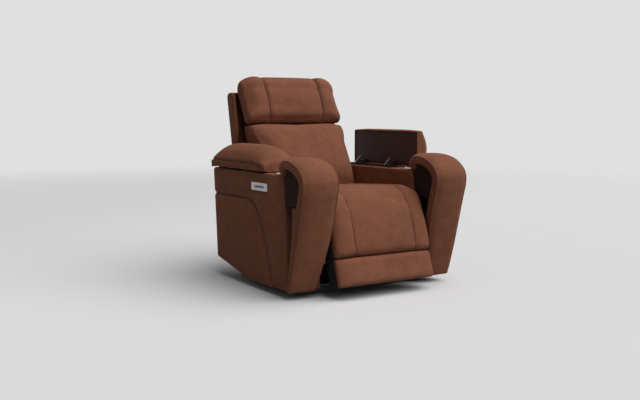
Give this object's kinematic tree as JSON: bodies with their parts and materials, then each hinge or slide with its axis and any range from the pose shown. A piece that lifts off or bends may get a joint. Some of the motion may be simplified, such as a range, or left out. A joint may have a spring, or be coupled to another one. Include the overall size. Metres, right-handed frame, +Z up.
{
  "type": "power recliner",
  "caption": "Upholstered power recliner with console arms, lift-up lids over storage, cup holders, a chaise legrest, a reclining back and a tilting headrest.",
  "frame": {"origin": "on the floor under the middle of the middle cross tube, midway between the arms", "axes": "+Z up, the chair faces -Y, +X to the right when facing the chair"},
  "size_m": [1.0794, 1.1247, 1.0926],
  "materials": {
    "brown_fabric": "brushed suede cloth",
    "dark_vinyl": "matte",
    "plywood": "raw",
    "black_cloth": "matte",
    "black_steel": "satin",
    "bright_steel": "satin",
    "chrome_cup": "polished",
    "black_plastic": "matte",
    "silver_plate": "satin",
    "blue_grey_plastic": "satin"
  },
  "bodies": {
    "base": {"arm_spacers": "black_steel", "base_frame": "black_steel", "chaise_pad": "brown_fabric", "control_box": "black_plastic", "control_plate": "silver_plate", "floor_glides": "black_plastic", "left_arm_cover": "brown_fabric", "left_arm_frame": "plywood", "left_cup_holder": "chrome_cup", "left_hinge_brackets": "bright_steel", "left_side_panel": "brown_fabric", "left_storage_bin": "black_plastic", "left_wing": "brown_fabric", "legrest_motor": "black_plastic", "motor_bars": "black_steel", "pivot_pins": "bright_steel", "recline_motor": "black_plastic", "right_arm_cover": "brown_fabric", "right_arm_frame": "plywood", "right_cup_holder": "chrome_cup", "right_hinge_brackets": "bright_steel", "right_side_panel": "brown_fabric", "right_storage_bin": "black_plastic", "right_wing": "brown_fabric", "seat_cushion": "brown_fabric", "seat_rails": "black_steel", "seat_springs": "bright_steel", "side_plates": "black_steel"},
    "legrest": {"legrest_pad": "brown_fabric", "legrest_lower_panel": "brown_fabric", "legrest_tray": "black_cloth", "legrest_brackets": "black_steel"},
    "legrest_drive": {"legrest_torque_tube": "black_steel"},
    "legrest_link_pair": {"legrest_links": "black_steel"},
    "back": {"back_panel": "plywood", "back_brackets": "black_steel", "back_cushion": "brown_fabric", "back_shell": "brown_fabric", "headrest_brackets": "black_steel", "headrest_motor": "black_plastic"},
    "recline_drive": {"recline_torque_tube": "black_steel"},
    "recline_link_pair": {"recline_links": "black_steel"},
    "headrest": {"headrest_board": "plywood", "headrest_arms": "black_steel", "headrest_pad": "brown_fabric"},
    "left_lid": {"left_lid_board": "dark_vinyl", "left_lid_pad": "brown_fabric", "left_lid_hinges": "bright_steel"},
    "right_lid": {"right_lid_board": "dark_vinyl", "right_lid_pad": "brown_fabric", "right_lid_hinges": "bright_steel"},
    "left_stays": {"left_lid_stays": "bright_steel"},
    "right_stays": {"right_lid_stays": "bright_steel"},
    "button_1_body": {"button_1": "blue_grey_plastic"},
    "button_2_body": {"button_2": "blue_grey_plastic"},
    "button_3_body": {"button_3": "blue_grey_plastic"},
    "button_4_body": {"button_4": "blue_grey_plastic"},
    "button_5_body": {"button_5": "blue_grey_plastic"}
  },
  "joints": [
    {"name": "legrest_swing", "type": "hinge", "parent": "base", "child": "legrest", "pos_m": [0, -0.352, 0.413], "axis": [-1, 0, 0], "range_deg": [0, 68], "deforming": ["chaise_pad"]},
    {"name": "legrest_crank_turn", "type": "hinge", "parent": "base", "child": "legrest_drive", "pos_m": [0, -0.092, 0.283], "axis": [-1, 0, 0], "range_deg": [0, 68]},
    {"name": "legrest_link_turn", "type": "hinge", "parent": "legrest_drive", "child": "legrest_link_pair", "pos_m": [0, -0.06871, 0.19607], "axis": [-1, 0, 0], "range_deg": [-68, 0]},
    {"name": "back_recline", "type": "hinge", "parent": "base", "child": "back", "pos_m": [0, 0.23, 0.36], "axis": [-1, 0, 0], "range_deg": [0, 40]},
    {"name": "recline_crank_turn", "type": "hinge", "parent": "base", "child": "recline_drive", "pos_m": [0, 0.03, 0.3], "axis": [-1, 0, 0], "range_deg": [0, 40]},
    {"name": "recline_link_turn", "type": "hinge", "parent": "recline_drive", "child": "recline_link_pair", "pos_m": [0, 0.08, 0.2134], "axis": [-1, 0, 0], "range_deg": [-40, 0]},
    {"name": "headrest_tilt", "type": "hinge", "parent": "back", "child": "headrest", "pos_m": [0, 0.383, 0.863], "axis": [1, 0, 0], "range_deg": [0, 30]},
    {"name": "left_lid_open", "type": "hinge", "parent": "base", "child": "left_lid", "pos_m": [-0.474, 0, 0.5955], "axis": [0, -1, 0], "range_deg": [0, 90]},
    {"name": "left_stays_turn", "type": "hinge", "parent": "base", "child": "left_stays", "pos_m": [-0.4355, 0, 0.588], "axis": [0, -1, 0], "range_deg": [0, 132]},
    {"name": "right_lid_close", "type": "hinge", "parent": "base", "child": "right_lid", "pos_m": [0.474, 0, 0.5955], "axis": [0, -1, 0], "range_deg": [0, 90]},
    {"name": "right_stays_turn", "type": "hinge", "parent": "base", "child": "right_stays", "pos_m": [0.4355, 0, 0.588], "axis": [0, -1, 0], "range_deg": [0, 132]},
    {"name": "button_1_press", "type": "slide", "parent": "base", "child": "button_1_body", "axis": [1, 0, 0], "range_m": [0, 0.0015], "stiffness_N_per_m": 400},
    {"name": "button_2_press", "type": "slide", "parent": "base", "child": "button_2_body", "axis": [1, 0, 0], "range_m": [0, 0.0015], "stiffness_N_per_m": 400},
    {"name": "button_3_press", "type": "slide", "parent": "base", "child": "button_3_body", "axis": [1, 0, 0], "range_m": [0, 0.0015], "stiffness_N_per_m": 400},
    {"name": "button_4_press", "type": "slide", "parent": "base", "child": "button_4_body", "axis": [1, 0, 0], "range_m": [0, 0.0015], "stiffness_N_per_m": 400},
    {"name": "button_5_press", "type": "slide", "parent": "base", "child": "button_5_body", "axis": [1, 0, 0], "range_m": [0, 0.0015], "stiffness_N_per_m": 400}
  ],
  "couplings": [
    {"joint": "legrest_crank_turn", "follows": "legrest_swing", "ratio": 1},
    {"joint": "legrest_link_turn", "follows": "legrest_swing", "ratio": -1},
    {"joint": "recline_crank_turn", "follows": "back_recline", "ratio": 1},
    {"joint": "recline_link_turn", "follows": "back_recline", "ratio": -1},
    {"joint": "left_stays_turn", "follows": "left_lid_open", "ratio": 1.4667},
    {"joint": "right_stays_turn", "follows": "right_lid_close", "ratio": 1.4667}
  ]
}
